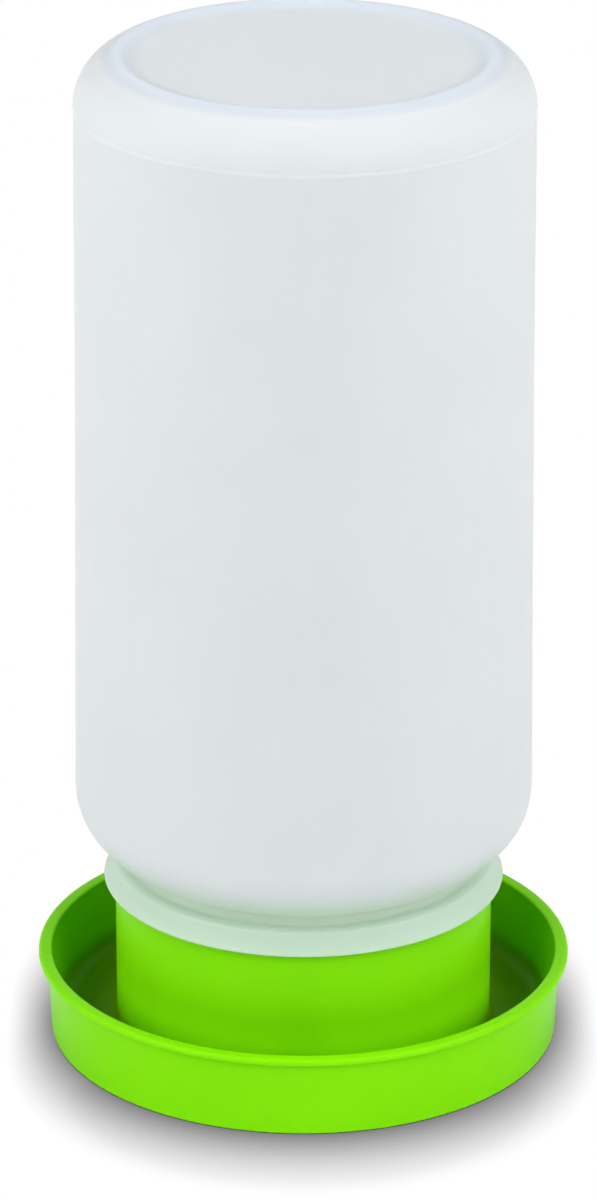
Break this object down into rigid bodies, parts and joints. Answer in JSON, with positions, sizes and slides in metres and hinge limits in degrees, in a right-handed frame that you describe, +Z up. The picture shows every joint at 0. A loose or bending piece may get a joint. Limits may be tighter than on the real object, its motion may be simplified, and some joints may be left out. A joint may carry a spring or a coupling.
{
  "type": "poultry drinker",
  "caption": "Small gravity-fed poultry drinker: an upturned translucent jar whose mouth dips into a collared cup in the middle of a round shallow drinking trough, lifting off for filling.",
  "frame": {"origin": "centre of the base's underside, on the surface that it stands on", "axes": "+Z up along the jar's axis, +Y towards the back; the two water outlets lie at front and back, on -Y and +Y"},
  "size_m": [0.1082, 0.1082, 0.2065],
  "materials": {
    "green_plastic": "injection-moulded polypropylene, bright yellow-green, soft gloss",
    "milky_plastic": "blow-moulded natural polyethylene, milky translucent, satin"
  },
  "bodies": {
    "base": {"base": "green_plastic"},
    "jar": {"jar": "milky_plastic"}
  },
  "joints": [
    {"name": "jar_lift", "type": "slide", "parent": "base", "child": "jar", "axis": [0, 0, 1], "range_m": [0, 0.08]}
  ]
}
